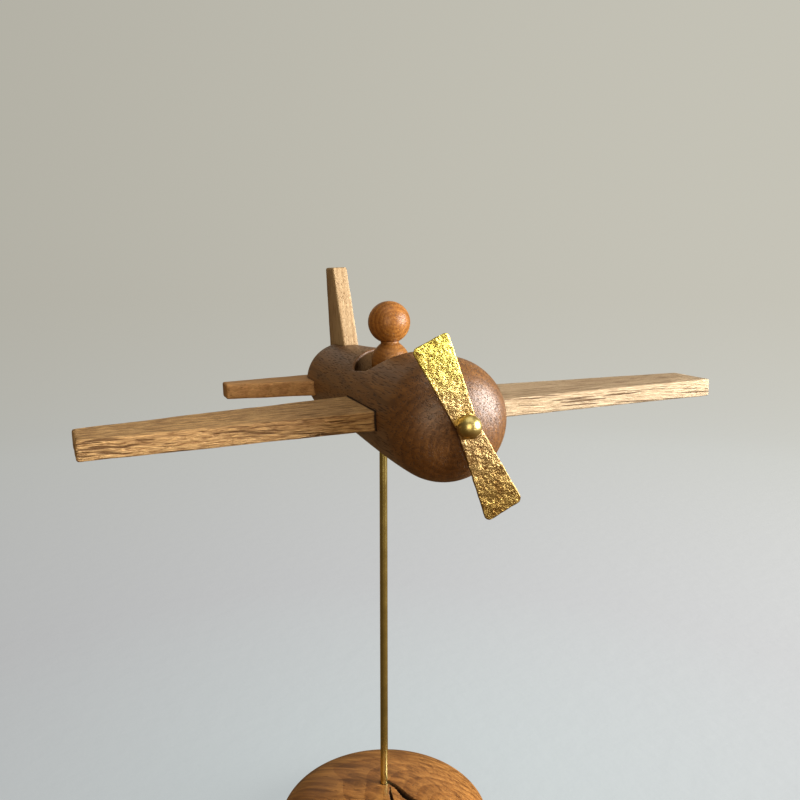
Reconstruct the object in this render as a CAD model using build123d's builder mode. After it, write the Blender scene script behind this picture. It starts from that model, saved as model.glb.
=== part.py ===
from build123d import *

import os
from math import cos, radians, sin

# A wooden propeller plane on a brass rod that stands in a low wooden dome.
# Millimetres, +Z up. The nose points to -Y and the wings run along X.
# The origin is the centre of the underside of the base, straight under the rod.

os.makedirs("parts", exist_ok=True)

# ---------------------------------------------------------------- driving dimensions

# stand
PAD_THICKNESS = 1.5
PAD_RADIUS = 47.0
FOOT_RADIUS = 49.0
DOME_RADIUS = 55.6
DOME_RISE = 20.4
DOME_TUCK = 9.0
ROD_RADIUS = 2.0
ROD_DEPTH_IN_BASE = 22.0
AXIS_OVER_DOME = 209.6

# fuselage, with stations counted along its axis, forward of the rod
NOSE_STATION = 98.0
WIDEST_STATION = 75.0
WIDEST_RADIUS = 26.6
TAIL_STATION = -65.0
TAIL_RADIUS = 21.1
TAIL_END_STATION = -93.5
NOSE_FULLNESS_ALONG = 0.64
NOSE_FULLNESS_ACROSS = 0.62
TAIL_FULLNESS = 0.55
FRONT_EASE = 0.29
REAR_EASE = 0.34
NOSE_FLAT_STATION = 97.5

# the airframe sits on its rod with the right wing a little low
BANK = radians(2.06)

# wings
RIGHT_HALF_SPAN = 145.0
LEFT_HALF_SPAN = 147.0
WING_ROOT_X = 19.0
WING_LEAD_STATION = 65.0
WING_ROOT_CHORD = 48.5
WING_TIP_CHORD = 27.5
WING_TOP_Z = 4.0
WING_THICKNESS = 8.4
WING_TIP_RAKE = 1.2
WING_EDGE_ROUND = 0.8

# tailplane
TAIL_HALF_SPAN = 67.2
TAIL_ROOT_X = 12.5
TAIL_LEAD_ROOT = -52.7
TAIL_LEAD_TIP = -69.0
TAIL_TRAIL_ROOT = -85.0
TAIL_TRAIL_TIP = -82.0
TAIL_TOP_Z = 2.2
TAIL_THICKNESS = 8.3

# fin
FIN_BASE_Z = 14.0
FIN_TOP_Z = 63.8
FIN_LEAD_BASE = -48.0
FIN_LEAD_TOP = -66.6
FIN_TRAIL_BASE = -78.3
FIN_TRAIL_TOP = -80.8
FIN_THICKNESS = 8.6

# joinery
SLOT_GAP = 0.3
SLOT_NOSE_GAP = 0.7
WING_DOWEL_RADIUS = 2.0
WING_DOWEL_LENGTH = 24.0
WING_DOWEL_STATIONS = (55.0, 31.0)
WING_DOWEL_X = 20.0
TAIL_DOWEL_RADIUS = 1.5
TAIL_DOWEL_LENGTH = 14.0
TAIL_DOWEL_STATIONS = (-61.0, -73.0)
TAIL_DOWEL_X = 13.0
FIN_DOWEL_LENGTH = 16.0
FIN_DOWEL_STATIONS = (-56.0, -70.0)
DOWEL_GAP = 0.05

# cockpit, two bores run together, and the pilot who sits in its rear half
COCKPIT_STATION = 20.0
COCKPIT_LENGTH = 50.0
COCKPIT_WIDTH = 35.4
COCKPIT_FLOOR_Z = 10.0
COCKPIT_RIM_ROUND = 0.8
PILOT_STATION = 12.5
PILOT_BODY_RADIUS = 9.2
PILOT_SHOULDER_Z = 19.0
PILOT_SLOPE_Z = 23.2
PILOT_COLLAR_Z = 25.6
PILOT_COLLAR_RADIUS = 6.2
PILOT_NECK_Z = 27.2
PILOT_NECK_RADIUS = 4.4
HEAD_Z = 37.2
HEAD_RADIUS = 10.2
PEG_RADIUS = 2.0
PEG_LENGTH = 14.0

# propeller group, on a pin a little off the middle of the nose
HUB_SIDE = -0.5
HUB_RISE = 1.1
PROPELLER_STATION = 100.0
PROPELLER_THICKNESS = 1.2
UPPER_BLADE_LENGTH = 37.8
UPPER_TIP_WIDTH = 16.9
LOWER_BLADE_LENGTH = 39.9
LOWER_TIP_WIDTH = 18.2
BLADE_WAIST_WIDTH = 9.4
BLADE_ANGLE = radians(23.4)
TIP_CORNER_ROUND = 2.2
WAIST_ROUND = 25.0
BALL_RADIUS = 5.0
BALL_SEAT = 1.2
PIN_RADIUS = 1.25
PIN_DEPTH = 22.0
PIN_IN_BALL = 4.5
PIN_RUNNING_GAP = 0.05
PROPELLER_END_PLAY = 0.2
WASHER_RADIUS = 4.0

# sleeve that turns on the rod
SLEEVE_RADIUS = 3.0
SLEEVE_TOP = -2.0
SLEEVE_FOOT = -23.4
SLEEVE_CAP = 1.6
ROD_RUNNING_GAP = 0.05
ROD_END_GAP = 0.3
ROD_END_CHAMFER = 0.4

# how far a cut runs past the surface it opens
OVERRUN = 1.0

# ---------------------------------------------------------------- reference planes

DOME_BOTTOM = PAD_THICKNESS
DOME_TOP = DOME_BOTTOM + DOME_TUCK + DOME_RISE
AXIS_HEIGHT = DOME_TOP + AXIS_OVER_DOME

SPAN_DIRECTION = Vector(cos(BANK), 0, sin(BANK))
UP_DIRECTION = Vector(-sin(BANK), 0, cos(BANK))
FORWARD_DIRECTION = Vector(0, -1, 0)
AXIS_POINT = Vector(0, 0, AXIS_HEIGHT)

# x along the span to the left wing, y aft, z up
BODY = Plane(origin=AXIS_POINT, x_dir=SPAN_DIRECTION, z_dir=UP_DIRECTION)
# x forward, y up, seen from the right wing
SIDE = Plane(origin=AXIS_POINT, x_dir=FORWARD_DIRECTION, z_dir=-SPAN_DIRECTION)

HUB_POINT = BODY.from_local_coords(Vector(HUB_SIDE, 0, HUB_RISE))


def across(station, turn=0.0, middle=AXIS_POINT):
    """Plane square to the fuselage axis: x to the left wing, y up, z forward, turned about z."""
    return Plane(
        origin=middle + FORWARD_DIRECTION * station,
        x_dir=SPAN_DIRECTION * cos(turn) + UP_DIRECTION * sin(turn),
        z_dir=FORWARD_DIRECTION,
    )


def hub(station, turn=0.0):
    """Plane square to the propeller pin."""
    return across(station, turn, HUB_POINT)


def spanwise(side, distance):
    """Plane square to the span, at a distance to the left (1) or right (-1): x forward, y up."""
    return Plane(
        origin=AXIS_POINT + SPAN_DIRECTION * (side * distance),
        x_dir=FORWARD_DIRECTION,
        z_dir=-SPAN_DIRECTION,
    )


def write(piece, name):
    piece.label = name
    export_step(piece, f"parts/{name}.step")


# ---------------------------------------------------------------- boards

def wing_outline(side, gap=0.0, nose_gap=0.0):
    """Corners of a wing board on the body plane, grown by a gap for its slot."""
    half_span = LEFT_HALF_SPAN if side > 0 else RIGHT_HALF_SPAN
    return [
        (side * (WING_ROOT_X - gap), -WING_LEAD_STATION - nose_gap),
        (side * half_span, -WING_LEAD_STATION - nose_gap),
        (side * (half_span + WING_TIP_RAKE), -WING_LEAD_STATION + WING_TIP_CHORD + gap),
        (side * (WING_ROOT_X - gap), -WING_LEAD_STATION + WING_ROOT_CHORD + gap),
    ]


def tailplane_outline(side, gap=0.0):
    """Corners of a tailplane board on the body plane, grown by a gap for its slot."""
    return [
        (side * (TAIL_ROOT_X - gap), -TAIL_LEAD_ROOT - gap),
        (side * TAIL_HALF_SPAN, -TAIL_LEAD_TIP - gap),
        (side * TAIL_HALF_SPAN, -TAIL_TRAIL_TIP + gap),
        (side * (TAIL_ROOT_X - gap), -TAIL_TRAIL_ROOT + gap),
    ]


def fin_outline(gap=0.0):
    """Corners of the fin on the side plane, grown by a gap for its slot."""
    return [
        (FIN_LEAD_BASE + gap, FIN_BASE_Z - gap),
        (FIN_LEAD_TOP + gap, FIN_TOP_Z),
        (FIN_TRAIL_TOP - gap, FIN_TOP_Z),
        (FIN_TRAIL_BASE - gap, FIN_BASE_Z - gap),
    ]


def board(corners, top, thickness, round_over=0.0, gap=0.0):
    """Flat board with its outline on the body plane, rounded over except round its root."""
    with BuildPart() as piece:
        with BuildSketch(BODY.offset(top + gap)):
            with BuildLine():
                Polyline(*corners, close=True)
            make_face()
        extrude(amount=-(thickness + 2 * gap))
        if round_over:
            root = piece.faces().sort_by_distance(BODY.from_local_coords((0, 0, top)))[0]
            fillet(piece.edges() - root.edges(), round_over)
    return piece.part


def dowels(plane_of, stations, radius, length, middle, height):
    """Round pins set across a joint, one per station and side."""
    with BuildPart() as pins:
        for side in (-1, 1):
            with BuildSketch(plane_of(side, middle)) as ends:
                with Locations(*[(station, height) for station in stations]):
                    Circle(radius)
            extrude(ends.sketch, amount=length / 2, both=True)
    return pins.part


def make_wing_dowels(gap=0.0):
    middle_z = WING_TOP_Z - WING_THICKNESS / 2
    return dowels(spanwise, WING_DOWEL_STATIONS, WING_DOWEL_RADIUS + gap,
                  WING_DOWEL_LENGTH + 2 * gap, WING_DOWEL_X, middle_z)


def make_tailplane_dowels(gap=0.0):
    middle_z = TAIL_TOP_Z - TAIL_THICKNESS / 2
    return dowels(spanwise, TAIL_DOWEL_STATIONS, TAIL_DOWEL_RADIUS + gap,
                  TAIL_DOWEL_LENGTH + 2 * gap, TAIL_DOWEL_X, middle_z)


def make_fin_dowels(gap=0.0):
    with BuildPart() as pins:
        with BuildSketch(BODY.offset(FIN_BASE_Z)):
            with Locations(*[(0, -station) for station in FIN_DOWEL_STATIONS]):
                Circle(TAIL_DOWEL_RADIUS + gap)
        extrude(amount=FIN_DOWEL_LENGTH / 2 + gap, both=True)
    return pins.part


def make_fin(gap=0.0, round_over=0.0):
    with BuildPart() as piece:
        with BuildSketch(SIDE):
            with BuildLine():
                Polyline(*fin_outline(gap), close=True)
            make_face()
        extrude(amount=FIN_THICKNESS / 2 + gap, both=True)
        if round_over:
            base = piece.faces().sort_by(Axis(AXIS_POINT, UP_DIRECTION))[0]
            fillet(piece.edges() - base.edges(), round_over)
    return piece.part


wing_dowels = make_wing_dowels()
tailplane_dowels = make_tailplane_dowels()
fin_dowels = make_fin_dowels()
wing_dowel_holes = make_wing_dowels(DOWEL_GAP)
tailplane_dowel_holes = make_tailplane_dowels(DOWEL_GAP)
fin_dowel_holes = make_fin_dowels(DOWEL_GAP)

wings = {}
for name, side in (("wing_right", -1), ("wing_left", 1)):
    with BuildPart() as wing:
        add(board(wing_outline(side), WING_TOP_Z, WING_THICKNESS, WING_EDGE_ROUND))
        add(wing_dowel_holes, mode=Mode.SUBTRACT)
    wings[name] = wing.part

tailplanes = {}
for name, side in (("tailplane_right", -1), ("tailplane_left", 1)):
    with BuildPart() as tailplane:
        add(board(tailplane_outline(side), TAIL_TOP_Z, TAIL_THICKNESS, WING_EDGE_ROUND))
        add(tailplane_dowel_holes, mode=Mode.SUBTRACT)
    tailplanes[name] = tailplane.part

with BuildPart() as fin:
    add(make_fin(round_over=WING_EDGE_ROUND))
    add(fin_dowel_holes, mode=Mode.SUBTRACT)

# ---------------------------------------------------------------- fuselage

NOSE_LENGTH = NOSE_STATION - WIDEST_STATION
MIDDLE_LENGTH = WIDEST_STATION - TAIL_STATION
TAIL_LENGTH = TAIL_STATION - TAIL_END_STATION

with BuildPart() as fuselage:
    # half outline of the egg, turned about its own axis
    with BuildSketch(SIDE):
        with BuildLine():
            Bezier(
                (TAIL_END_STATION, 0),
                (TAIL_END_STATION, TAIL_FULLNESS * TAIL_RADIUS),
                (TAIL_STATION - TAIL_FULLNESS * TAIL_LENGTH, TAIL_RADIUS),
                (TAIL_STATION, TAIL_RADIUS),
            )
            Bezier(
                (TAIL_STATION, TAIL_RADIUS),
                (TAIL_STATION + REAR_EASE * MIDDLE_LENGTH, TAIL_RADIUS),
                (WIDEST_STATION - FRONT_EASE * MIDDLE_LENGTH, WIDEST_RADIUS),
                (WIDEST_STATION, WIDEST_RADIUS),
            )
            Bezier(
                (WIDEST_STATION, WIDEST_RADIUS),
                (WIDEST_STATION + NOSE_FULLNESS_ALONG * NOSE_LENGTH, WIDEST_RADIUS),
                (NOSE_STATION, NOSE_FULLNESS_ACROSS * WIDEST_RADIUS),
                (NOSE_STATION, 0),
            )
            Line((NOSE_STATION, 0), (TAIL_END_STATION, 0))
        make_face()
    revolve(axis=Axis(AXIS_POINT, FORWARD_DIRECTION))

    # flat on the nose for the washer
    with BuildSketch(across(NOSE_FLAT_STATION)):
        Circle(WIDEST_RADIUS)
    extrude(amount=NOSE_STATION - NOSE_FLAT_STATION + OVERRUN, mode=Mode.SUBTRACT)

    # cockpit, bored from above to a flat floor
    with BuildSketch(BODY.offset(COCKPIT_FLOOR_Z)):
        with Locations((0, -COCKPIT_STATION)):
            SlotOverall(COCKPIT_LENGTH, COCKPIT_WIDTH, rotation=90)
    extrude(amount=WIDEST_RADIUS, mode=Mode.SUBTRACT)
    cockpit_edges = fuselage.edges(Select.LAST)
    floor_edges = cockpit_edges.group_by(Axis(AXIS_POINT, UP_DIRECTION))[0]
    walls = cockpit_edges.filter_by(Axis(AXIS_POINT, UP_DIRECTION))
    fillet(cockpit_edges - floor_edges - walls, COCKPIT_RIM_ROUND)

    # slots that take the wings, the tailplane halves and the fin
    for side in (-1, 1):
        slot = wing_outline(side, SLOT_GAP, SLOT_NOSE_GAP)
        add(board(slot, WING_TOP_Z, WING_THICKNESS, gap=SLOT_GAP), mode=Mode.SUBTRACT)
        slot = tailplane_outline(side, SLOT_GAP)
        add(board(slot, TAIL_TOP_Z, TAIL_THICKNESS, gap=SLOT_GAP), mode=Mode.SUBTRACT)
    add(make_fin(SLOT_GAP), mode=Mode.SUBTRACT)

    # dowel holes
    add(wing_dowel_holes, mode=Mode.SUBTRACT)
    add(tailplane_dowel_holes, mode=Mode.SUBTRACT)
    add(fin_dowel_holes, mode=Mode.SUBTRACT)
    with BuildSketch(BODY.offset(COCKPIT_FLOOR_Z)):
        with Locations((0, -PILOT_STATION)):
            Circle(PEG_RADIUS + DOWEL_GAP)
    extrude(amount=-(PEG_LENGTH / 2 + DOWEL_GAP), mode=Mode.SUBTRACT)

    # bore for the propeller pin
    with BuildSketch(hub(NOSE_STATION - PIN_DEPTH - DOWEL_GAP)):
        Circle(PIN_RADIUS + DOWEL_GAP)
    extrude(amount=PIN_DEPTH + OVERRUN, mode=Mode.SUBTRACT)

    # upright bore in the belly for the sleeve
    with BuildSketch(Plane.XY.offset(AXIS_HEIGHT + SLEEVE_TOP + DOWEL_GAP)):
        Circle(SLEEVE_RADIUS + DOWEL_GAP)
    extrude(amount=-WIDEST_RADIUS, mode=Mode.SUBTRACT)

# ---------------------------------------------------------------- pilot

PILOT_AXIS = Axis(BODY.from_local_coords(Vector(0, -PILOT_STATION, 0)), UP_DIRECTION)
PILOT_SIDE = Plane(
    origin=BODY.from_local_coords(Vector(0, -PILOT_STATION, 0)),
    x_dir=FORWARD_DIRECTION,
    z_dir=-SPAN_DIRECTION,
)
HEAD_FOOT_Z = HEAD_Z - (HEAD_RADIUS**2 - PILOT_NECK_RADIUS**2) ** 0.5

with BuildPart() as pilot:
    with BuildSketch(PILOT_SIDE):
        with BuildLine():
            Line((0, COCKPIT_FLOOR_Z), (PILOT_BODY_RADIUS, COCKPIT_FLOOR_Z))
            Line((PILOT_BODY_RADIUS, COCKPIT_FLOOR_Z), (PILOT_BODY_RADIUS, PILOT_SHOULDER_Z))
            Bezier(
                (PILOT_BODY_RADIUS, PILOT_SHOULDER_Z),
                (PILOT_BODY_RADIUS, PILOT_SLOPE_Z),
                (PILOT_COLLAR_RADIUS, PILOT_COLLAR_Z),
                (PILOT_NECK_RADIUS, PILOT_NECK_Z),
            )
            Line((PILOT_NECK_RADIUS, PILOT_NECK_Z), (PILOT_NECK_RADIUS, HEAD_FOOT_Z))
            ThreePointArc(
                (PILOT_NECK_RADIUS, HEAD_FOOT_Z),
                (HEAD_RADIUS, HEAD_Z),
                (0, HEAD_Z + HEAD_RADIUS),
            )
            Line((0, HEAD_Z + HEAD_RADIUS), (0, COCKPIT_FLOOR_Z))
        make_face()
    revolve(axis=PILOT_AXIS)
    with BuildSketch(BODY.offset(COCKPIT_FLOOR_Z)):
        with Locations((0, -PILOT_STATION)):
            Circle(PEG_RADIUS + DOWEL_GAP)
    extrude(amount=PEG_LENGTH / 2 + DOWEL_GAP, mode=Mode.SUBTRACT)

with BuildPart() as pilot_peg:
    with BuildSketch(BODY.offset(COCKPIT_FLOOR_Z)):
        with Locations((0, -PILOT_STATION)):
            Circle(PEG_RADIUS)
    extrude(amount=PEG_LENGTH / 2, both=True)

# ---------------------------------------------------------------- propeller group

PROPELLER_BACK = PROPELLER_STATION - PROPELLER_THICKNESS / 2
PROPELLER_FRONT = PROPELLER_STATION + PROPELLER_THICKNESS / 2
BALL_BACK = PROPELLER_FRONT + PROPELLER_END_PLAY
BALL_CENTRE = BALL_BACK + BALL_SEAT

with BuildPart() as propeller:
    with BuildSketch(hub(PROPELLER_BACK, BLADE_ANGLE)) as blades:
        with BuildLine():
            Polyline(
                (UPPER_TIP_WIDTH / 2, UPPER_BLADE_LENGTH),
                (BLADE_WAIST_WIDTH / 2, 0),
                (LOWER_TIP_WIDTH / 2, -LOWER_BLADE_LENGTH),
                (-LOWER_TIP_WIDTH / 2, -LOWER_BLADE_LENGTH),
                (-BLADE_WAIST_WIDTH / 2, 0),
                (-UPPER_TIP_WIDTH / 2, UPPER_BLADE_LENGTH),
                close=True,
            )
        make_face()
        waist = blades.vertices().filter_by_position(Axis.Y, -1, 1)
        fillet(blades.vertices() - waist, TIP_CORNER_ROUND)
        fillet(blades.vertices().filter_by_position(Axis.Y, -1, 1), WAIST_ROUND)
        Circle(PIN_RADIUS + PIN_RUNNING_GAP, mode=Mode.SUBTRACT)
    extrude(amount=PROPELLER_THICKNESS)

with BuildPart() as propeller_ball:
    with Locations(hub(BALL_CENTRE).location):
        Sphere(BALL_RADIUS)
    split(bisect_by=hub(BALL_BACK), keep=Keep.TOP)
    with BuildSketch(hub(BALL_BACK)):
        Circle(PIN_RADIUS)
    extrude(amount=PIN_IN_BALL, mode=Mode.SUBTRACT)

with BuildPart() as propeller_pin:
    with BuildSketch(hub(NOSE_STATION - PIN_DEPTH)):
        Circle(PIN_RADIUS)
    extrude(amount=BALL_BACK + PIN_IN_BALL - NOSE_STATION + PIN_DEPTH - DOWEL_GAP)

with BuildPart() as nose_washer:
    with BuildSketch(hub(NOSE_FLAT_STATION)):
        Circle(WASHER_RADIUS)
        Circle(PIN_RADIUS + DOWEL_GAP, mode=Mode.SUBTRACT)
    extrude(amount=PROPELLER_BACK - PROPELLER_END_PLAY - NOSE_FLAT_STATION)

# ---------------------------------------------------------------- stand

ROD_BOTTOM = DOME_TOP - ROD_DEPTH_IN_BASE
ROD_TOP = AXIS_HEIGHT + SLEEVE_TOP - SLEEVE_CAP - ROD_END_GAP

with BuildPart() as rod_sleeve:
    with BuildSketch(Plane.XY.offset(AXIS_HEIGHT + SLEEVE_FOOT)):
        Circle(SLEEVE_RADIUS)
    extrude(amount=SLEEVE_TOP - SLEEVE_FOOT)
    with BuildSketch(Plane.XY.offset(AXIS_HEIGHT + SLEEVE_FOOT)):
        Circle(ROD_RADIUS + ROD_RUNNING_GAP)
    extrude(amount=SLEEVE_TOP - SLEEVE_FOOT - SLEEVE_CAP, mode=Mode.SUBTRACT)

with BuildPart() as display_rod:
    with BuildSketch(Plane.XY.offset(ROD_BOTTOM)):
        Circle(ROD_RADIUS)
    extrude(amount=ROD_TOP - ROD_BOTTOM)
    chamfer(display_rod.edges(), ROD_END_CHAMFER)

WIDEST_HEIGHT = DOME_BOTTOM + DOME_TUCK

with BuildPart() as base_dome:
    with BuildSketch(Plane.XZ):
        with BuildLine():
            EllipticalCenterArc((0, WIDEST_HEIGHT), DOME_RADIUS, DOME_RISE, 0, arc_size=90)
            Line((0, DOME_TOP), (0, DOME_BOTTOM))
            Line((0, DOME_BOTTOM), (FOOT_RADIUS, DOME_BOTTOM))
            EllipticalCenterArc((FOOT_RADIUS, WIDEST_HEIGHT), DOME_RADIUS - FOOT_RADIUS,
                                DOME_TUCK, -90, arc_size=90)
        make_face()
    revolve(axis=Axis.Z)
    with BuildSketch(Plane.XY.offset(ROD_BOTTOM)):
        Circle(ROD_RADIUS + DOWEL_GAP)
    extrude(amount=ROD_DEPTH_IN_BASE + OVERRUN, mode=Mode.SUBTRACT)

with BuildPart() as base_pad:
    with BuildSketch(Plane.XY):
        Circle(PAD_RADIUS)
    extrude(amount=PAD_THICKNESS)

# ---------------------------------------------------------------- files

pieces = {
    "fuselage": fuselage.part,
    "wing_dowels": wing_dowels,
    "tailplane_dowels": tailplane_dowels,
    "fin": fin.part,
    "fin_dowels": fin_dowels,
    "pilot": pilot.part,
    "pilot_peg": pilot_peg.part,
    "propeller": propeller.part,
    "propeller_ball": propeller_ball.part,
    "propeller_pin": propeller_pin.part,
    "nose_washer": nose_washer.part,
    "rod_sleeve": rod_sleeve.part,
    "display_rod": display_rod.part,
    "base_dome": base_dome.part,
    "base_pad": base_pad.part,
    **wings,
    **tailplanes,
}
for name, piece in pieces.items():
    write(piece, name)
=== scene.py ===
import math

import bmesh
import bpy
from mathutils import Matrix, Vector, noise


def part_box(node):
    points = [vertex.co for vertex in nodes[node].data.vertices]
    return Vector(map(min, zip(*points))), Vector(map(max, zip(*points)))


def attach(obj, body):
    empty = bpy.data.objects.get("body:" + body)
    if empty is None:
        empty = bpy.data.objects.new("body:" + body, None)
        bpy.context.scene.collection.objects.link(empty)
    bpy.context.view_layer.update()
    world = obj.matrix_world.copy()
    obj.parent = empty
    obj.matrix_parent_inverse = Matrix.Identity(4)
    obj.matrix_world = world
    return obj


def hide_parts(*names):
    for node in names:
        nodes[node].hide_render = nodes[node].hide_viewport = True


# The looks of a wooden propeller plane on a brass rod and a wooden dome.
# Metres, +Z up, nose to -Y, wings along X, origin under the middle of the base.

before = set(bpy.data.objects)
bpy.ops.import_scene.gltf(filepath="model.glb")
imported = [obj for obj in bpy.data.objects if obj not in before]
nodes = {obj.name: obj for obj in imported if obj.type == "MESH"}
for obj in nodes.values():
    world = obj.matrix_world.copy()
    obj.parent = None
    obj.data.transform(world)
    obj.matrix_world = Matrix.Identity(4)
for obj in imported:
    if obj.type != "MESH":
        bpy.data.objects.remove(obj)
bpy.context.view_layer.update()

dome_low, dome_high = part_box("base_dome")
hull_low, hull_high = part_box("fuselage")
blade_low, blade_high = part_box("propeller")
head_low, head_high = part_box("pilot")

# height of the fuselage's axis
AXIS = (hull_low.z + hull_high.z) / 2


# ---------------------------------------------------------------- material nodes

ORIGIN = (0, 0, 0)
UPRIGHT = (0, 0, 0)
ALONG_X = (0, math.pi / 2, 0)
ALONG_Y = (math.pi / 2, 0, 0)
SAME_SIZE = (1, 1, 1)
PLAIN = (1, 1, 1)
# the wave texture's own spacing at a scale of 1
WAVE_SPACING = math.pi / 10
# the colour sockets of the mix node
FIRST_COLOUR, SECOND_COLOUR, MIXED_COLOUR = 6, 7, 2


class Paint:
    """A node material being built, with short calls for the nodes it uses."""

    def __init__(self, name, **uniform):
        self.material = bpy.data.materials.new(name)
        self.material.use_nodes = True
        self.tree = self.material.node_tree
        self.shader = self.tree.nodes["Principled BSDF"]
        self.place = self.node("ShaderNodeTexCoord").outputs["Object"]
        for socket, value in uniform.items():
            self.shader.inputs[socket.replace("_", " ")].default_value = value

    def node(self, kind, **settings):
        made = self.tree.nodes.new(kind)
        for setting, value in settings.items():
            setattr(made, setting, value)
        return made

    def give(self, socket, value):
        if isinstance(value, bpy.types.NodeSocket):
            self.tree.links.new(value, socket)
        else:
            socket.default_value = value

    def axis(self, letter, where=None):
        """The X, Y or Z share of a point or a direction."""
        made = self.node("ShaderNodeSeparateXYZ")
        self.give(made.inputs[0], where or self.place)
        return made.outputs[letter]

    def length(self, where):
        made = self.node("ShaderNodeVectorMath", operation="LENGTH")
        self.give(made.inputs[0], where)
        return made.outputs["Value"]

    def frame_at(self, point, turn=UPRIGHT, scale=SAME_SIZE, where=None):
        """Coordinates counted from a point, along turned axes, in units of scale."""
        made = self.node("ShaderNodeMapping", vector_type="TEXTURE")
        self.give(made.inputs["Vector"], where or self.place)
        made.inputs["Location"].default_value = point
        made.inputs["Rotation"].default_value = turn
        made.inputs["Scale"].default_value = scale
        return made.outputs["Vector"]

    def noise(self, where, scale, detail=3.0, roughness=0.55, distortion=0.0):
        made = self.node("ShaderNodeTexNoise")
        self.give(made.inputs["Vector"], where)
        made.inputs["Scale"].default_value = scale
        made.inputs["Detail"].default_value = detail
        made.inputs["Roughness"].default_value = roughness
        made.inputs["Distortion"].default_value = distortion
        return made.outputs["Fac"]

    def warp(self, where, scale, amount, detail=2.0):
        """Coordinates pushed about by smooth noise, by up to half of amount."""
        made = self.node("ShaderNodeTexNoise")
        self.give(made.inputs["Vector"], where)
        made.inputs["Scale"].default_value = scale
        made.inputs["Detail"].default_value = detail
        centred = self.vector("SUBTRACT", made.outputs["Color"], (0.5, 0.5, 0.5))
        return self.vector("ADD", where, self.vector("MULTIPLY", centred, amount))

    def cells(self, where, scale, feature="F1", smooth=0.0):
        made = self.node("ShaderNodeTexVoronoi", feature=feature)
        self.give(made.inputs["Vector"], where)
        made.inputs["Scale"].default_value = scale
        if feature == "SMOOTH_F1":
            made.inputs["Smoothness"].default_value = smooth
        return made.outputs["Distance"]

    def rings(self, where, spacing, distortion=0.0, detail_scale=1.0):
        """Growth rings about the local Z axis, as a saw that rises across each ring."""
        made = self.node("ShaderNodeTexWave", wave_type="RINGS", rings_direction="Z",
                         wave_profile="SAW")
        self.give(made.inputs["Vector"], where)
        made.inputs["Scale"].default_value = WAVE_SPACING / spacing
        made.inputs["Distortion"].default_value = distortion
        made.inputs["Detail Scale"].default_value = detail_scale
        return made.outputs["Fac"]

    def vector(self, operation, first, second):
        made = self.node("ShaderNodeVectorMath", operation=operation)
        self.give(made.inputs[0], first)
        self.give(made.inputs[1], second)
        return made.outputs["Vector"]

    def maths(self, operation, first, second=0.0, third=0.0):
        made = self.node("ShaderNodeMath", operation=operation)
        for socket, value in zip(made.inputs, (first, second, third)):
            self.give(socket, value)
        return made.outputs["Value"]

    def spread(self, value, low, high, to_low=0.0, to_high=1.0):
        """value taken from low..high to to_low..to_high, clamped and eased."""
        made = self.node("ShaderNodeMapRange", interpolation_type="SMOOTHSTEP")
        for name, number in (("Value", value), ("From Min", low), ("From Max", high),
                             ("To Min", to_low), ("To Max", to_high)):
            self.give(made.inputs[name], number)
        return made.outputs["Result"]

    def ramp(self, value, *stops):
        made = self.node("ShaderNodeValToRGB")
        self.give(made.inputs["Fac"], value)
        elements = made.color_ramp.elements
        elements[0].position, elements[0].color = stops[0][0], (*stops[0][1], 1)
        elements[1].position, elements[1].color = stops[-1][0], (*stops[-1][1], 1)
        for position, colour in stops[1:-1]:
            elements.new(position).color = (*colour, 1)
        return made.outputs["Color"]

    def mix(self, amount, first, second, mode="MIX"):
        made = self.node("ShaderNodeMix", data_type="RGBA", blend_type=mode)
        self.give(made.inputs["Factor"], amount)
        for socket, colour in ((FIRST_COLOUR, first), (SECOND_COLOUR, second)):
            solid = (*colour, 1) if isinstance(colour, tuple) else colour
            self.give(made.inputs[socket], solid)
        return made.outputs[MIXED_COLOUR]

    def tinted(self, amount, colour, tone):
        """The colour multiplied by a tone, to the given amount."""
        return self.mix(amount, colour, self.mix(1.0, colour, tone, "MULTIPLY"))

    def bump(self, height, depth, under=None):
        """A normal from a height of 0 to 1 that stands for depth metres."""
        made = self.node("ShaderNodeBump")
        self.give(made.inputs["Height"], height)
        made.inputs["Distance"].default_value = depth
        if under:
            self.give(made.inputs["Normal"], under)
        return made.outputs["Normal"]

    def finish(self, colour, roughness, normal):
        """Joins the surface to the shader."""
        self.give(self.shader.inputs["Base Color"], colour)
        self.give(self.shader.inputs["Roughness"], roughness)
        self.give(self.shader.inputs["Normal"], normal)
        return self


# ---------------------------------------------------------------- wood

# detail that every wood shares: densities are per metre and depths in metres
WAVE_STRETCH = 3.0
RING_BLEND = (0.1, 0.97)
STREAK_TONES = ((0.35, (0.42, 0.34, 0.27)), (0.46, (0.80, 0.75, 0.70)),
                (0.54, (1.05, 1.05, 1.05)), (0.66, (1.40, 1.43, 1.46)))
FIBRE_DENSITY = 2200
FIBRE_STRETCH = 30
FIBRE_TONES = ((0.3, (0.76, 0.73, 0.70)), (0.7, (1.2, 1.2, 1.2)))
FIBRE_TINT = 0.7
FIBRE_DEPTH = 0.00006
FIBRE_DULLNESS = 0.12
CLOUD_DENSITY = 32
CLOUD_TONES = ((0.35, (0.80, 0.74, 0.68)), (0.65, (1.14, 1.12, 1.10)))
CLOUD_TINT = 0.9
PORE_SPACING = 4.0
PORE_WANDER = (0.0008, 0.0008, 0)
PORE_WANDER_DENSITY = 160
PORE_GROUP_DENSITY = 330
PORE_GROUP_STRETCH = 5
PORE_GROUP_BLEND = (0.38, 0.62)
PORE_EDGE = (-0.07, 0.05)
PORE_DEPTH = 0.00014
PORE_DULLNESS = 0.25
# painted shade: how far the occlusion node looks, and how dark it paints corners and the places
# where parts meet
CORNER_SHADE_REACH = 0.0032
CORNER_SHADE_SAMPLES = 8
CORNER_SHADE_TONES = ((0.34, (0.16, 0.10, 0.07)), (0.66, (0.8, 0.77, 0.74)), (0.84, PLAIN))


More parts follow.
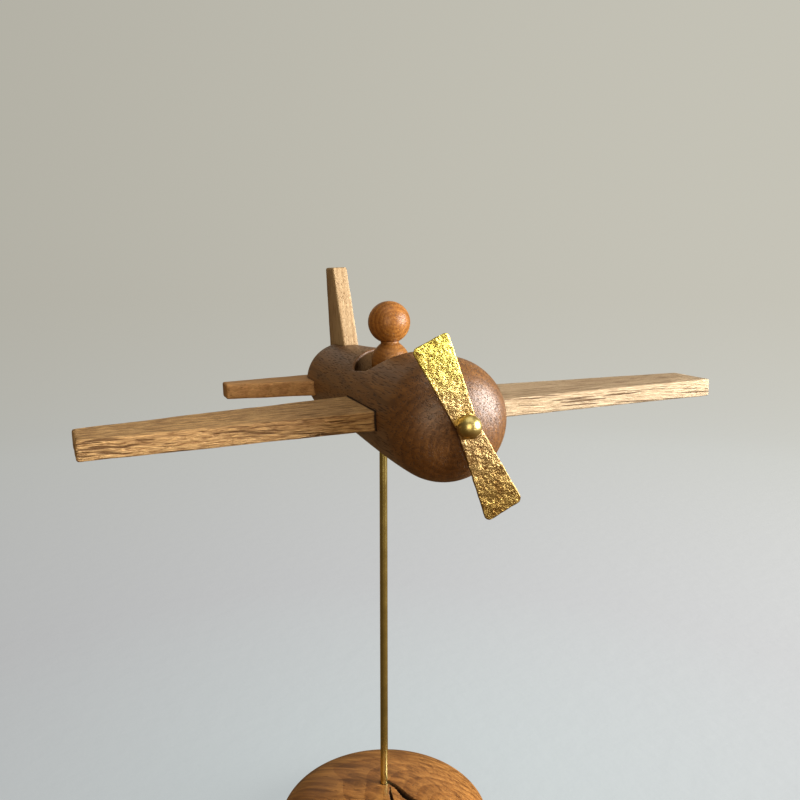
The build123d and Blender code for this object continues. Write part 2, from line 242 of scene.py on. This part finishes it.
def wood(name, pith, turn, ring, early, late, pore_colour, pore=0.00022, pore_length=12.0,
         pore_share=0.4, clustered=0.5, waviness=(0.002, 0.002), wave_scale=20.0,
         pore_strength=0.8, figure=0.5, figure_size=0.0016, figure_length=9.0,
         relief_depth=0.00012, polish=0.5, gloss=0.4, seed=0.0):
    """A wood whose grain runs along the local Z axis at pith, turned by turn.

    ring is the growth ring spacing and figure the strength of the streaks along the grain.
    pore is a pore's width, and pore_length and figure_length are counted in widths.
    seed moves the pattern about, while the rings stay centred on the pith.
    """
    paint = Paint(name, Specular_IOR_Level=gloss)
    grain = paint.frame_at(pith, turn)
    aside = (seed, seed * 0.7)
    moved = paint.vector("ADD", grain, (*aside, seed * 1.3))
    slow = paint.frame_at(ORIGIN, scale=(1, 1, WAVE_STRETCH), where=moved)
    bent = paint.warp(slow, wave_scale, (*waviness, 0))
    ring_saw = paint.rings(paint.vector("SUBTRACT", bent, (*aside, 0)), ring,
                           distortion=0.5, detail_scale=2.0)
    colour = paint.mix(paint.spread(ring_saw, *RING_BLEND), early, late)

    streak = paint.noise(paint.frame_at(ORIGIN, scale=(1, 1, figure_length), where=bent),
                         1 / figure_size, detail=4.0, roughness=0.62, distortion=0.7)
    colour = paint.tinted(figure, colour, paint.ramp(streak, *STREAK_TONES))

    fibre = paint.noise(paint.frame_at(ORIGIN, scale=(1, 1, FIBRE_STRETCH), where=bent),
                        FIBRE_DENSITY, detail=3.0, roughness=0.65)
    colour = paint.tinted(FIBRE_TINT, colour, paint.ramp(fibre, *FIBRE_TONES))

    cloud = paint.noise(slow, CLOUD_DENSITY, detail=2.5)
    colour = paint.tinted(CLOUD_TINT, colour, paint.ramp(cloud, *CLOUD_TONES))

    pore_place = paint.frame_at(ORIGIN, scale=(1, 1, pore_length),
                                where=paint.warp(bent, PORE_WANDER_DENSITY, PORE_WANDER))
    distance = paint.cells(pore_place, 1 / (PORE_SPACING * pore))
    chance = paint.noise(paint.frame_at(ORIGIN, scale=(1, 1, PORE_GROUP_STRETCH), where=bent),
                         PORE_GROUP_DENSITY, detail=1.0)
    reach = paint.spread(chance, *PORE_GROUP_BLEND, pore_share * (1 - clustered), pore_share)
    open_pore = paint.spread(paint.maths("SUBTRACT", distance, reach), *PORE_EDGE, 1.0, 0.0)
    colour = paint.mix(paint.maths("MULTIPLY", open_pore, pore_strength), colour, pore_colour)

    # painted shade: the colour is darkened where other surfaces are close, in corners and where
    # parts meet
    corner = paint.node("ShaderNodeAmbientOcclusion", samples=CORNER_SHADE_SAMPLES)
    paint.give(corner.inputs["Distance"], CORNER_SHADE_REACH)
    colour = paint.mix(1.0, colour, paint.ramp(corner.outputs["AO"], *CORNER_SHADE_TONES), "MULTIPLY")

    rough = paint.maths("ADD", polish, paint.maths("MULTIPLY", open_pore, PORE_DULLNESS))
    rough = paint.maths("ADD", rough, paint.maths("MULTIPLY", fibre, FIBRE_DULLNESS))
    relief = paint.bump(streak, relief_depth)
    relief = paint.bump(fibre, FIBRE_DEPTH, relief)
    relief = paint.bump(paint.maths("SUBTRACT", 1.0, open_pore), PORE_DEPTH, relief)
    return paint.finish(colour, rough, relief)


def touch_up(paint, mask, colour, roughness):
    """Mixes another colour and roughness into a finished material where the mask is 1."""
    for name, value in (("Base Color", colour), ("Roughness", (roughness,) * 3)):
        socket = paint.shader.inputs[name]
        paint.give(socket, paint.mix(mask, socket.links[0].from_socket, value))


def dull(paint, mask, loss):
    """Takes a share of the gloss off a finished material where the mask is 1."""
    gloss = paint.shader.inputs["Specular IOR Level"]
    full = gloss.default_value
    paint.give(gloss, paint.maths("MULTIPLY_ADD", mask, -loss * full, full))


# the fuselage's round skin: its radius at the rod, and what it loses per metre to the tail
SKIN_RADIUS = 0.0237
SKIN_TAPER = 0.039
# how far above the skin a board's painted seam shade starts, and where it is full
SEAM_SHADE_START = 0.0013
SEAM_SHADE_FULL = 0.0007
SEAM_SHADE_COLOUR = (0.030, 0.013, 0.005)
SEAM_SHADE_ROUGHNESS = 0.8


def depth_below_skin(paint):
    """How deep a point lies under the fuselage's skin, which tapers to the tail."""
    off_axis = paint.vector("MULTIPLY", paint.vector("SUBTRACT", paint.place, (0, 0, AXIS)),
                            (1, 0, 1))
    skin = paint.maths("MULTIPLY_ADD", paint.axis("Y"), -SKIN_TAPER, SKIN_RADIUS)
    return paint.maths("SUBTRACT", skin, paint.length(off_axis))


def painted_seam_shade(board):
    """Painted shade: darkens a board where it goes into the fuselage, for the shadow in the
    open seam.
    """
    touch_up(board, board.spread(depth_below_skin(board), -SEAM_SHADE_START, -SEAM_SHADE_FULL),
             SEAM_SHADE_COLOUR, SEAM_SHADE_ROUGHNESS)


walnut = wood("walnut", (-0.004, 0, AXIS - 0.007), ALONG_Y, ring=0.0027,
              early=(0.212, 0.096, 0.026), late=(0.158, 0.067, 0.016),
              pore_colour=(0.024, 0.008, 0.003), pore=0.00014, pore_length=7.0,
              pore_share=0.36, clustered=0.25, pore_strength=0.7, waviness=(0.005, 0.005),
              figure=0.5, figure_size=0.0018, polish=0.35, gloss=0.8)
# the bores and the cockpit are left as the drill cut them, behind the nose's round end, and are
# painted dark as shade inside these hollows
DRILLED_DEPTHS = (0.0008, 0.0022)
BARREL_START = (-0.075, -0.060)
DRILLED_AND_SHADED_SHARE = 0.92
BORE_SHADE_COLOUR = (0.050, 0.025, 0.006)
DRILLED_ROUGHNESS = 0.9
DRILLED_GLOSS_LOSS = 0.85
inside = walnut.spread(depth_below_skin(walnut), *DRILLED_DEPTHS)
on_barrel = walnut.spread(walnut.axis("Y"), *BARREL_START)
drilled_and_shaded = walnut.maths("MULTIPLY", inside,
                       walnut.maths("MULTIPLY", on_barrel, DRILLED_AND_SHADED_SHARE))
# the dark colour is painted shade; the roughness and the lost gloss are the bare cut wood
touch_up(walnut, drilled_and_shaded, BORE_SHADE_COLOUR, DRILLED_ROUGHNESS)
dull(walnut, drilled_and_shaded, DRILLED_GLOSS_LOSS)

near_board = wood("near_wing_board", (0, 0.22, AXIS - 0.05), ALONG_X, ring=0.0023,
                  early=(0.60, 0.40, 0.185), late=(0.43, 0.26, 0.108),
                  pore_colour=(0.09, 0.036, 0.010), pore=0.00020, pore_length=8.0,
                  pore_share=0.40, clustered=0.6, waviness=(0.0050, 0.0006),
                  wave_scale=60.0, figure=1.0, figure_size=0.00078, figure_length=2.6,
                  relief_depth=0.0012, seed=0.19)
far_board = wood("far_wing_board", (0, 0.24, AXIS - 0.04), ALONG_X, ring=0.0026,
                 early=(0.72, 0.60, 0.42), late=(0.63, 0.50, 0.33),
                 pore_colour=(0.11, 0.050, 0.016), pore=0.00017, pore_length=16.0,
                 pore_share=0.44, clustered=0.7, waviness=(0.003, 0.0006),
                 wave_scale=46.0, figure=0.65, figure_size=0.00055, figure_length=4.0,
                 relief_depth=0.0008, seed=0.77)
# painted shade: the far board's upward faces are darkened
TOP_SHADE_FACING = (0.5, 0.95)
TOP_SHADE_SHARE = 0.42
TOP_SHADE_COLOUR = (0.27, 0.17, 0.09)
TOP_SHADE_ROUGHNESS = 0.55
facing = far_board.axis("Z", far_board.node("ShaderNodeNewGeometry").outputs["Normal"])
touch_up(far_board, far_board.spread(facing, *TOP_SHADE_FACING, 0.0, TOP_SHADE_SHARE),
         TOP_SHADE_COLOUR, TOP_SHADE_ROUGHNESS)
# painted shade in the open seams at the wing roots
painted_seam_shade(near_board)
painted_seam_shade(far_board)
tail_board = wood("tail_board", (0, 0.30, AXIS + 0.02), ALONG_X, ring=0.0031,
                  early=(0.52, 0.30, 0.12), late=(0.45, 0.245, 0.095),
                  pore_colour=(0.20, 0.09, 0.03), pore=0.0002, pore_share=0.25,
                  clustered=0.8, waviness=(0.004, 0.001), wave_scale=30.0, figure=0.45,
                  figure_size=0.0013, seed=0.53)
fin_board = wood("fin_board", (0.25, 0.05, AXIS), UPRIGHT, ring=0.0028,
                 early=(0.47, 0.350, 0.205), late=(0.41, 0.290, 0.160),
                 pore_colour=(0.22, 0.11, 0.04), pore=0.00018, pore_share=0.28,
                 clustered=0.6, waviness=(0.002, 0.001), figure=0.45,
                 figure_size=0.0010, figure_length=6.0, seed=0.71)

BEECH = {"ring": 0.0015, "early": (0.60, 0.42, 0.25), "late": (0.48, 0.31, 0.17),
         "pore_colour": (0.2, 0.11, 0.05)}
dowel_wood = wood("dowel_wood", (0.01, 0.02, AXIS), ALONG_X, **BEECH, seed=0.2)
peg_wood = wood("peg_wood", (0.01, 0.02, AXIS), UPRIGHT, **BEECH, seed=0.9)

# the pilot's head is a ball that fills the figure's depth and ends at its top
head_centre = Vector((
    (head_low.x + head_high.x) / 2,
    (head_low.y + head_high.y) / 2,
    head_high.z - (head_high.y - head_low.y) / 2,
))
PITH_FROM_HEAD = Vector((0.0026, 0, -0.0004))
PILOT_GRAIN = (math.pi / 2 - 0.1, 0, -0.36)
pilot_wood = wood("pilot_wood", head_centre + PITH_FROM_HEAD, PILOT_GRAIN, ring=0.0019,
                  early=(0.43, 0.190, 0.044), late=(0.31, 0.122, 0.025),
                  pore_colour=(0.14, 0.05, 0.012), pore=0.0002, pore_length=8.0,
                  pore_share=0.26, clustered=0.6, waviness=(0.0016, 0.0022),
                  wave_scale=60.0, figure=0.4, figure_size=0.0016, figure_length=5.0,
                  polish=0.30)
# painted shade: the shoulders below the neck are darker than the head
SHOULDER_SHADE_START_Z = AXIS + 0.0290
SHOULDER_SHADE_FULL_Z = AXIS + 0.0265
SHOULDER_SHADE_SHARE = 0.5
SHOULDER_SHADE_COLOUR = (0.17, 0.075, 0.018)
SHOULDER_SHADE_ROUGHNESS = 0.4
shoulder_shade = pilot_wood.spread(pilot_wood.axis("Z"), SHOULDER_SHADE_START_Z, SHOULDER_SHADE_FULL_Z,
                          0.0, SHOULDER_SHADE_SHARE)
touch_up(pilot_wood, shoulder_shade, SHOULDER_SHADE_COLOUR, SHOULDER_SHADE_ROUGHNESS)

burr_wood = wood("burr_wood", (-0.05, 0.06, -0.03), (1.2, 0.5, 0.5), ring=0.0036,
                 early=(0.36, 0.168, 0.044), late=(0.265, 0.112, 0.026),
                 pore_colour=(0.06, 0.020, 0.008), pore=0.0002, pore_length=10.0,
                 pore_share=0.2, clustered=0.9, waviness=(0.012, 0.012), wave_scale=16.0,
                 figure=0.9, figure_size=0.0034, figure_length=7.0, polish=0.28,
                 gloss=0.5, seed=0.3)
CRACK_COLOUR = (0.016, 0.008, 0.005)
CRACK_ROUGHNESS = 0.8
crack_mask = burr_wood.node("ShaderNodeAttribute", attribute_name="crack").outputs["Fac"]
touch_up(burr_wood, crack_mask, CRACK_COLOUR, CRACK_ROUGHNESS)


# ---------------------------------------------------------------- brass and felt

SCRATCH_DENSITY = 1800
SCRATCH_STRETCH = 30
SCRATCH_DEPTH = 0.00001
TARNISH_DENSITY = 90
TARNISH_DULLNESS = 0.12
TARNISH_SHADE = 0.8


def brass(name, roughness, colour=(0.72, 0.50, 0.17)):
    """Drawn or turned brass with faint scratches and a little tarnish."""
    paint = Paint(name, Metallic=1.0)
    drawn = paint.frame_at(ORIGIN, scale=(1, 1, SCRATCH_STRETCH))
    scratch = paint.noise(drawn, SCRATCH_DENSITY, detail=2.0)
    tarnish = paint.noise(paint.place, TARNISH_DENSITY, detail=4.0, roughness=0.6)
    shade = tuple(share * TARNISH_SHADE for share in colour)
    tint = paint.ramp(tarnish, (0.35, shade), (0.65, colour))
    rough = paint.maths("ADD", roughness, paint.maths("MULTIPLY", tarnish, TARNISH_DULLNESS))
    return paint.finish(tint, rough, paint.bump(scratch, SCRATCH_DEPTH))


ball_brass = brass("polished_brass", 0.25, (0.75, 0.63, 0.25))
rod_brass = brass("rod_brass", 0.16, (0.76, 0.69, 0.28))
tube_brass = brass("tube_brass", 0.3)

HAMMER_WANDER = (0.0026, 0.0026, 0.0026)
HAMMER_WANDER_DENSITY = 260
FACET_DENSITY = 640
FACET_DEPTH = 0.00010
CREASE_DENSITY = 1500
CREASE_TILT = (0, 0.42, 0)
CREASE_STRETCH = (2.2, 1.0, 1.0)
CREASE_DEPTH = 0.00013
CREASE_TONES = ((0.40, (0.26, 0.16, 0.12)), (0.49, (0.80, 0.76, 0.70)),
                (0.60, (1.12, 1.12, 1.12)))
# painted reflection, from the foot of the propeller to its head: the lamp's bright reflection
# shows in the upper blade
BLADE_REFLECTION_TONES = ((0.0, (0.46, 0.33, 0.10)), (0.45, (0.66, 0.50, 0.25)),
          (0.72, (0.74, 0.58, 0.26)), (1.0, (0.90, 0.86, 0.20)))
STAIN_TONES = ((0.38, (0.62, 0.50, 0.42)), (0.52, PLAIN))
STAIN_TINT = 0.8


def hammered_brass():
    """Thin sheet beaten all over, with fine creases, and a painted reflection: darker towards
    the foot and bright yellow towards the head, where the lamp shows.
    """
    paint = Paint("hammered_brass", Metallic=1.0)
    bent = paint.warp(paint.place, HAMMER_WANDER_DENSITY, HAMMER_WANDER)
    facets = paint.cells(bent, FACET_DENSITY, "SMOOTH_F1", 0.5)
    stretched = paint.frame_at(ORIGIN, CREASE_TILT, CREASE_STRETCH, bent)
    creases = paint.noise(stretched, CREASE_DENSITY, detail=5.0, roughness=0.62,
                          distortion=1.2)
    stain = paint.noise(paint.place, TARNISH_DENSITY, detail=5.0, roughness=0.7)
    along = paint.spread(paint.axis("Z"), blade_low.z, blade_high.z)
    # painted reflection: the blade's colour brightens from its foot to its head
    tint = paint.mix(1.0, paint.ramp(along, *BLADE_REFLECTION_TONES), paint.ramp(creases, *CREASE_TONES),
                     "MULTIPLY")
    tint = paint.tinted(STAIN_TINT, tint, paint.ramp(stain, *STAIN_TONES))
    rough = paint.spread(creases, 0.3, 0.7, 0.42, 0.26)
    relief = paint.bump(facets, FACET_DEPTH)
    relief = paint.bump(creases, CREASE_DEPTH, relief)
    return paint.finish(tint, rough, relief)


FUZZ_DENSITY = 2400
FUZZ_DEPTH = 0.0003
FUZZ_TONES = ((0.3, (0.02, 0.022, 0.02)), (0.7, (0.055, 0.06, 0.052)))


def felt():
    """Pressed dark felt."""
    paint = Paint("felt", Sheen_Weight=0.3, Specular_IOR_Level=0.1)
    fuzz = paint.noise(paint.place, FUZZ_DENSITY, detail=4.0, roughness=0.7)
    return paint.finish(paint.ramp(fuzz, *FUZZ_TONES), 0.95, paint.bump(fuzz, FUZZ_DEPTH))


def dress(node, paint):
    """Gives a CAD part its material."""
    mesh = nodes[node].data
    mesh.materials.clear()
    mesh.materials.append(paint.material)


for node, paint in {
    "fuselage": walnut,
    "wing_right": near_board,
    "wing_left": far_board,
    "tailplane_right": tail_board,
    "tailplane_left": tail_board,
    "fin": fin_board,
    "wing_dowels": dowel_wood,
    "tailplane_dowels": dowel_wood,
    "fin_dowels": peg_wood,
    "pilot": pilot_wood,
    "pilot_peg": peg_wood,
    "propeller": hammered_brass(),
    "propeller_ball": ball_brass,
    "propeller_pin": tube_brass,
    "nose_washer": tube_brass,
    "rod_sleeve": tube_brass,
    "display_rod": rod_brass,
    "base_dome": burr_wood,
    "base_pad": felt(),
}.items():
    dress(node, paint)


# ---------------------------------------------------------------- worked surfaces

BOARD_VOXEL = 0.0006
BOARD_DENT_SIZE = 0.016
BOARD_DENT_DEPTH = 0.0003
BOARD_PASSES = {"wing_right": 4, "wing_left": 2, "tailplane_right": 2,
                "tailplane_left": 2, "fin": 2}
SHEET_VOXEL = 0.0003
SHEET_PASSES = 2
HAMMER_SIZE = 0.0034
HAMMER_DEPTH = 0.00032
HAMMER_LEVEL = 0.85


def work(node, voxel, smooth_passes, dent_size, dent_depth, level=0.5):
    """Softens a CAD part's edges and makes its faces slightly uneven, as worked by hand.

    level is the share of the unevenness that sinks below the part's own faces.
    """
    part = nodes[node]
    skin = part.modifiers.new("skin", "REMESH")
    skin.mode = "VOXEL"
    skin.voxel_size = voxel
    skin.use_smooth_shade = True
    ease = part.modifiers.new("ease", "SMOOTH")
    ease.iterations = smooth_passes
    dents = bpy.data.textures.new(node + "_dents", "CLOUDS")
    dents.noise_scale = dent_size
    dents.noise_depth = 1
    push = part.modifiers.new("push", "DISPLACE")
    push.texture = dents
    push.texture_coords = "LOCAL"
    push.strength = dent_depth
    push.mid_level = level


for node, passes in BOARD_PASSES.items():
    work(node, BOARD_VOXEL, passes, BOARD_DENT_SIZE, BOARD_DENT_DEPTH)
work("propeller", SHEET_VOXEL, SHEET_PASSES, HAMMER_SIZE, HAMMER_DEPTH, HAMMER_LEVEL)


# ---------------------------------------------------------------- dome

# turned with a bore for the rod, and split by two natural cracks
BORE_RADIUS = 0.00205
BORE_DEPTH = 0.022
DOME_RADIUS = dome_high.x
DOME_TOP = dome_high.z
FOOT_RADIUS = 0.049
WIDEST_Z = 0.0105
DOME_FULLNESS = 0.95
DOME_SEGMENTS = 512
DOME_ARC_STEPS = 150
FOOT_ARC_STEPS = 24
CRACKS = (
    # x, y, width and depth along each crack
    ((0.0020, 0.0008, 0.0010, 0.003), (0.0034, -0.0030, 0.0020, 0.005),
     (0.0052, -0.0073, 0.0027, 0.006), (0.0066, -0.0138, 0.0036, 0.007),
     (0.0090, -0.0178, 0.0034, 0.007), (0.0118, -0.0250, 0.0024, 0.005),
     (0.0135, -0.0330, 0.0014, 0.004), (0.0146, -0.0420, 0.0003, 0.001)),
    ((0.0014, -0.0052, 0.0005, 0.001), (-0.0002, -0.0100, 0.0013, 0.003),
     (-0.0009, -0.0142, 0.0015, 0.003), (-0.0005, -0.0200, 0.0004, 0.001)),
)
# no crack runs past this line towards the tail
CRACK_LIMIT_Y = 0.003
# the share of a crack's half width that its sloping wall takes up
CRACK_WALL = 0.45
# how far the dark stain reaches past a crack, and over what width it fades
CRACK_STAIN = 0.0003
CRACK_STAIN_FADE = 0.0006
RAGGED_DENSITY = 700
RAGGED_DEPTH = 0.0005


def clamped(value):
    return min(1.0, max(0.0, value))


def crack_at(x, y):
    """How deep the dome's surface is sunk at a point, and how dark it is there, 0 to 1."""
    deepest, darkest = 0.0, 0.0
    wobble = noise.noise(Vector((x, y, 0)) * RAGGED_DENSITY) * RAGGED_DEPTH
    for crack in CRACKS:
        for (x0, y0, w0, d0), (x1, y1, w1, d1) in zip(crack, crack[1:]):
            along = Vector((x1 - x0, y1 - y0))
            share = clamped(Vector((x - x0, y - y0)).dot(along) / along.length_squared)
            gap = (Vector((x0, y0)) + along * share - Vector((x, y))).length + wobble
            half = (w0 + (w1 - w0) * share) / 2
            sunk = clamped((half - gap) / (CRACK_WALL * half))
            deepest = max(deepest, (d0 + (d1 - d0) * share) * sunk)
            darkest = max(darkest, clamped((half + CRACK_STAIN - gap) / CRACK_STAIN_FADE))
    return deepest, darkest


def dome_profile():
    """Radius and height from the floor of the bore, over the top and down to the foot."""
    floor_z = DOME_TOP - BORE_DEPTH
    profile = [(0.0, floor_z), (BORE_RADIUS, floor_z),
               (BORE_RADIUS, DOME_TOP - BORE_DEPTH / 2)]
    first_angle = math.asin((BORE_RADIUS / DOME_RADIUS) ** (1 / DOME_FULLNESS))
    rise = DOME_TOP - WIDEST_Z
    for step in range(DOME_ARC_STEPS + 1):
        angle = first_angle + (math.pi / 2 - first_angle) * step / DOME_ARC_STEPS
        profile.append((DOME_RADIUS * math.sin(angle) ** DOME_FULLNESS,
                        WIDEST_Z + rise * math.cos(angle) ** DOME_FULLNESS))
    for step in range(1, FOOT_ARC_STEPS + 1):
        angle = math.pi / 2 * step / FOOT_ARC_STEPS
        profile.append((FOOT_RADIUS + (DOME_RADIUS - FOOT_RADIUS) * math.cos(angle),
                        WIDEST_Z - (WIDEST_Z - dome_low.z) * math.sin(angle)))
    profile.append((0.0, dome_low.z))
    return profile


def make_dome():
    """The cracked dome that is shown in place of the CAD's plain one."""
    built = bmesh.new()
    mask = built.verts.layers.float.new("crack")
    loops = []
    for radius, height in dome_profile():
        if radius == 0.0:
            loops.append([built.verts.new((0, 0, height))])
            continue
        loop = []
        for k in range(DOME_SEGMENTS):
            angle = 2 * math.pi * k / DOME_SEGMENTS
            x, y = radius * math.cos(angle), radius * math.sin(angle)
            cracked = height > WIDEST_Z and y < CRACK_LIMIT_Y
            depth, dark = crack_at(x, y) if cracked else (0.0, 0.0)
            if radius <= BORE_RADIUS:
                depth = 0.0
            vertex = built.verts.new((x, y, height - depth))
            vertex[mask] = dark
            loop.append(vertex)
        loops.append(loop)
    for low, high in zip(loops, loops[1:]):
        for k in range(DOME_SEGMENTS):
            after = (k + 1) % DOME_SEGMENTS
            corners = [low[k % len(low)], low[after % len(low)],
                       high[after % len(high)], high[k % len(high)]]
            built.faces.new(list(dict.fromkeys(corners)))
    bmesh.ops.recalc_face_normals(built, faces=built.faces)
    mesh = bpy.data.meshes.new("dome_block")
    built.to_mesh(mesh)
    built.free()
    mesh.shade_smooth()
    mesh.materials.append(burr_wood.material)
    dome = bpy.data.objects.new("dome_block", mesh)
    bpy.context.scene.collection.objects.link(dome)
    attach(dome, "stand")
    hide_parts("base_dome")


make_dome()


# ---------------------------------------------------------------- floor and backdrop

FLOOR_RADIUS = 1.3
SWEEP_RADIUS = 0.9
WALL_HEIGHT = 3.0
BOWL_SEGMENTS = 96
SWEEP_STEPS = 16
# the backdrop's colour by the distance from the middle of its floor, times TONE_SCALE
TONE_SCALE = 0.45
WALL_TONES = ((0.05, (0.600, 0.650, 0.660)), (0.17, (0.577, 0.590, 0.600)),
              (0.50, (0.578, 0.590, 0.565)), (0.86, (0.540, 0.530, 0.468)),
              (1.0, (0.545, 0.535, 0.467)))
# it is lighter to the plane's left than to its right
SIDE_SOFTENING = 0.35
SIDE_CHANGE = 0.30
SIDE_MIDDLE = 0.95
# most of the backdrop's light is its own, so that the lamps add little to it
GLOW = 0.84
SURFACE_SHARE = 0.13
PLASTER_DENSITY = 60
PLASTER_DEPTH = 0.001


def make_backdrop():
    """A round floor that sweeps up into a wall on every side."""
    profile = [(0.0, 0.0), (FLOOR_RADIUS, 0.0)]
    for step in range(1, SWEEP_STEPS + 1):
        angle = math.pi / 2 * step / SWEEP_STEPS
        profile.append((FLOOR_RADIUS + SWEEP_RADIUS * math.sin(angle),
                        SWEEP_RADIUS * (1 - math.cos(angle))))
    profile.append((FLOOR_RADIUS + SWEEP_RADIUS, WALL_HEIGHT))
    built = bmesh.new()
    centre = built.verts.new((0, 0, 0))
    loops = []
    for radius, height in profile[1:]:
        loops.append([
            built.verts.new((radius * math.cos(angle), radius * math.sin(angle), height))
            for angle in (2 * math.pi * k / BOWL_SEGMENTS for k in range(BOWL_SEGMENTS))
        ])
    for k in range(BOWL_SEGMENTS):
        after = (k + 1) % BOWL_SEGMENTS
        built.faces.new((centre, loops[0][k], loops[0][after]))
        for low, high in zip(loops, loops[1:]):
            built.faces.new((low[k], high[k], high[after], low[after]))
    mesh = bpy.data.meshes.new("backdrop")
    built.to_mesh(mesh)
    built.free()
    mesh.shade_smooth()
    backdrop = bpy.data.objects.new("backdrop", mesh)
    bpy.context.scene.collection.objects.link(backdrop)
    paint = Paint("backdrop_paint", Specular_IOR_Level=0.0)
    reach = paint.length(paint.vector("MULTIPLY", paint.place, (1, 1, 0)))
    wall = paint.ramp(paint.maths("MULTIPLY", reach, TONE_SCALE), *WALL_TONES)
    sideways = paint.maths("DIVIDE", paint.axis("X"), paint.maths("ADD", reach, SIDE_SOFTENING))
    side = paint.maths("MULTIPLY_ADD", sideways, SIDE_CHANGE, SIDE_MIDDLE)
    wall = paint.mix(1.0, wall, side, "MULTIPLY")
    surface = paint.mix(1.0, wall, (SURFACE_SHARE,) * 3, "MULTIPLY")
    plaster = paint.noise(paint.place, PLASTER_DENSITY, detail=3.0)
    mesh.materials.append(
        paint.finish(surface, 0.95, paint.bump(plaster, PLASTER_DEPTH)).material)
    paint.give(paint.shader.inputs["Emission Color"], wall)
    paint.shader.inputs["Emission Strength"].default_value = GLOW
    backdrop.visible_diffuse = False
    backdrop.visible_glossy = False
    backdrop.visible_shadow = False


make_backdrop()


# ---------------------------------------------------------------- light and camera

def panel(name, azimuth, elevation, distance, width, height, power, colour):
    """A soft panel that faces the plane; azimuth 0 is in front of the nose, 90 on its left."""
    light = bpy.data.lights.new(name, "AREA")
    light.shape = "RECTANGLE"
    light.size, light.size_y = width, height
    light.energy, light.color = power, colour
    lamp = bpy.data.objects.new(name, light)
    a, e = math.radians(azimuth), math.radians(elevation)
    away = Vector((math.sin(a) * math.cos(e), -math.cos(a) * math.cos(e), math.sin(e)))
    lamp.location = Vector((0, 0, AXIS)) + away * distance
    lamp.visible_camera = False
    lamp.rotation_mode = "QUATERNION"
    lamp.rotation_quaternion = away.to_track_quat("Z", "Y")
    bpy.context.scene.collection.objects.link(lamp)


panel("key", 59, 14, 1.25, 0.9, 0.66, 40.0, (1.0, 0.965, 0.92))
panel("front", -24, 12, 1.7, 0.9, 1.1, 8.5, (1.0, 0.84, 0.62))
panel("top", -10, 78, 1.3, 1.2, 1.2, 4.2, (1.0, 0.95, 0.84))
panel("back", 160, 20, 1.5, 1.6, 0.5, 0.7, (1.0, 0.97, 0.90))

# the room's light, from straight down to straight up, and its strength from right to left
ROOM_BELOW = (0.36, 0.16, 0.05, 1)
ROOM_LEVEL = (0.95, 0.62, 0.30, 1)
ROOM_ABOVE = (1.0, 0.84, 0.58, 1)
STRENGTH_RIGHT = 0.11
STRENGTH_LEFT = 0.38

world = bpy.data.worlds.new("studio")
bpy.context.scene.world = world
world.use_nodes = True
sky = world.node_tree
background = sky.nodes["Background"]
way = sky.nodes.new("ShaderNodeSeparateXYZ")
sky.links.new(sky.nodes.new("ShaderNodeTexCoord").outputs["Generated"], way.inputs[0])
rise = sky.nodes.new("ShaderNodeMapRange")
sky.links.new(way.outputs["Z"], rise.inputs["Value"])
rise.inputs["From Min"].default_value = -1.0
room = sky.nodes.new("ShaderNodeValToRGB")
sky.links.new(rise.outputs["Result"], room.inputs["Fac"])
room.color_ramp.elements[0].color = ROOM_BELOW
room.color_ramp.elements[1].color = ROOM_ABOVE
room.color_ramp.elements.new(0.5).color = ROOM_LEVEL
sky.links.new(room.outputs["Color"], background.inputs["Color"])
across = sky.nodes.new("ShaderNodeMapRange")
sky.links.new(way.outputs["X"], across.inputs["Value"])
across.inputs["From Min"].default_value = -1.0
across.inputs["To Min"].default_value = STRENGTH_RIGHT
across.inputs["To Max"].default_value = STRENGTH_LEFT
sky.links.new(across.outputs["Result"], background.inputs["Strength"])

# the camera stands before the plane's right wing, a little higher than the fuselage
EYE = (-0.1414, -0.3984, AXIS + 0.0609)
LOOK_DOWN = 0.134
LOOK_RIGHT = 0.361
SENSOR_WIDTH = 36
FOCAL_LENGTH = 38.25
LENS_SHIFT = -0.0161
NEAREST = 0.02

lens = bpy.data.cameras.new("camera")
lens.sensor_width = SENSOR_WIDTH
lens.lens = FOCAL_LENGTH
lens.shift_y = LENS_SHIFT
lens.clip_start = NEAREST
camera = bpy.data.objects.new("camera", lens)
camera.location = EYE
camera.rotation_euler = (math.pi / 2 - LOOK_DOWN, 0, -LOOK_RIGHT)
bpy.context.scene.collection.objects.link(camera)
bpy.context.scene.camera = camera
bpy.context.scene.view_settings.view_transform = "Standard"
